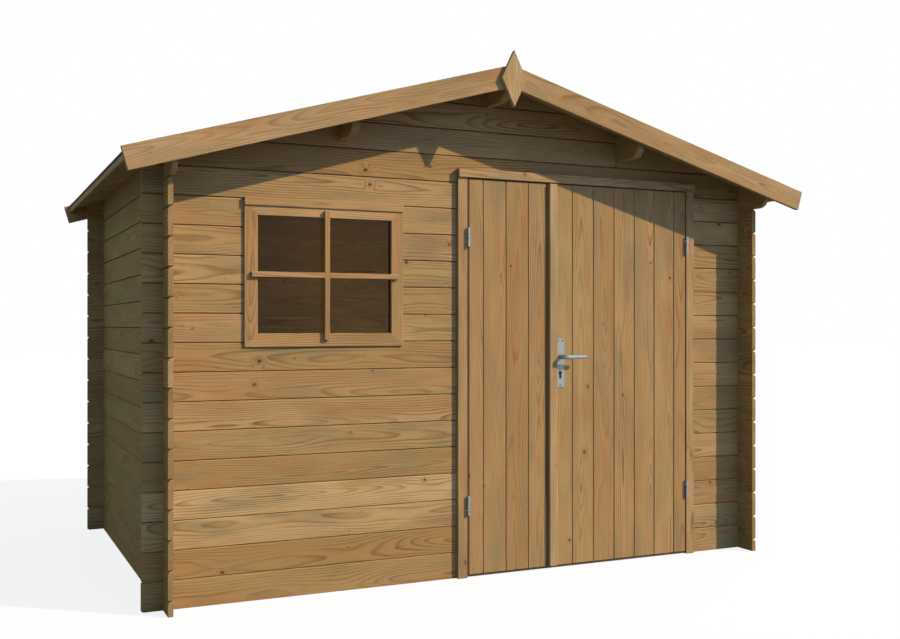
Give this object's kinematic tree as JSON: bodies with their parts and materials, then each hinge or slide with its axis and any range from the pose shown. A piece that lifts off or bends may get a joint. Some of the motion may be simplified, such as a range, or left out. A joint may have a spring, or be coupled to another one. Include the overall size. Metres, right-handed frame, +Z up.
{
  "type": "wooden garden shed",
  "caption": "Wooden garden shed of interlocking planks with crossed corners, a low felted gable roof, a window and an outward-opening double door with a lever handle.",
  "frame": {"origin": "on the ground under the middle of the roof's outline", "axes": "+X to the right along the front, -Y the way the front gable faces, +Z up"},
  "size_m": [3.218, 2.273, 2.2786],
  "materials": {
    "plank_wood": "planed softwood, untreated",
    "trim_wood": "planed softwood, untreated",
    "door_wood": "planed softwood boards, untreated",
    "roofing_felt": "mineral bitumen felt, matt",
    "galvanised_steel": "zinc plated, satin",
    "handle_metal": "satin",
    "glass": "clear float glass"
  },
  "bodies": {
    "shed": {"front_wall_lower": "plank_wood", "front_wall_left_pier": "plank_wood", "front_wall_middle_pier": "plank_wood", "front_wall_over_window": "plank_wood", "front_wall_right": "plank_wood", "front_gable": "plank_wood", "back_wall": "plank_wood", "left_wall": "plank_wood", "right_wall": "plank_wood", "left_eave_log": "plank_wood", "right_eave_log": "plank_wood", "ridge_beam": "plank_wood", "left_purlin": "plank_wood", "right_purlin": "plank_wood", "left_roof_boards": "plank_wood", "right_roof_boards": "plank_wood", "eave_boards": "trim_wood", "front_left_bargeboard": "trim_wood", "front_right_bargeboard": "trim_wood", "back_left_bargeboard": "trim_wood", "back_right_bargeboard": "trim_wood", "front_finial": "trim_wood", "back_finial": "trim_wood", "door_left_post": "trim_wood", "door_right_post": "trim_wood", "door_header": "trim_wood", "door_sill": "trim_wood", "window_frame": "trim_wood", "window_head": "trim_wood", "left_felt": "roofing_felt", "right_felt": "roofing_felt", "ridge_felt": "roofing_felt", "hinge_pins": "galvanised_steel", "window_pane": "glass"},
    "left_door": {"left_door_leaf": "door_wood", "left_door_ledges": "trim_wood", "left_hinge_sockets": "galvanised_steel"},
    "right_door": {"right_door_leaf": "door_wood", "right_door_ledges": "trim_wood", "right_hinge_sockets": "galvanised_steel", "cover_strip": "trim_wood", "handle_plate": "handle_metal", "lock_case": "handle_metal"},
    "lever": {"lever_handle": "handle_metal"}
  },
  "joints": [
    {"name": "left_door_swing", "type": "hinge", "parent": "shed", "child": "left_door", "pos_m": [-0.11, -0.9175, 0], "axis": [0, 0, -1], "range_deg": [0, 120]},
    {"name": "right_door_swing", "type": "hinge", "parent": "shed", "child": "right_door", "pos_m": [1.067, -0.9175, 0], "axis": [0, 0, 1], "range_deg": [0, 120]},
    {"name": "lever_turn", "type": "hinge", "parent": "right_door", "child": "lever", "pos_m": [0.3575, -0.9095, 0.966], "axis": [0, 1, 0], "range_deg": [0, 45], "stiffness_Nm_per_rad": 1.2, "springref_deg": -20.05}
  ]
}
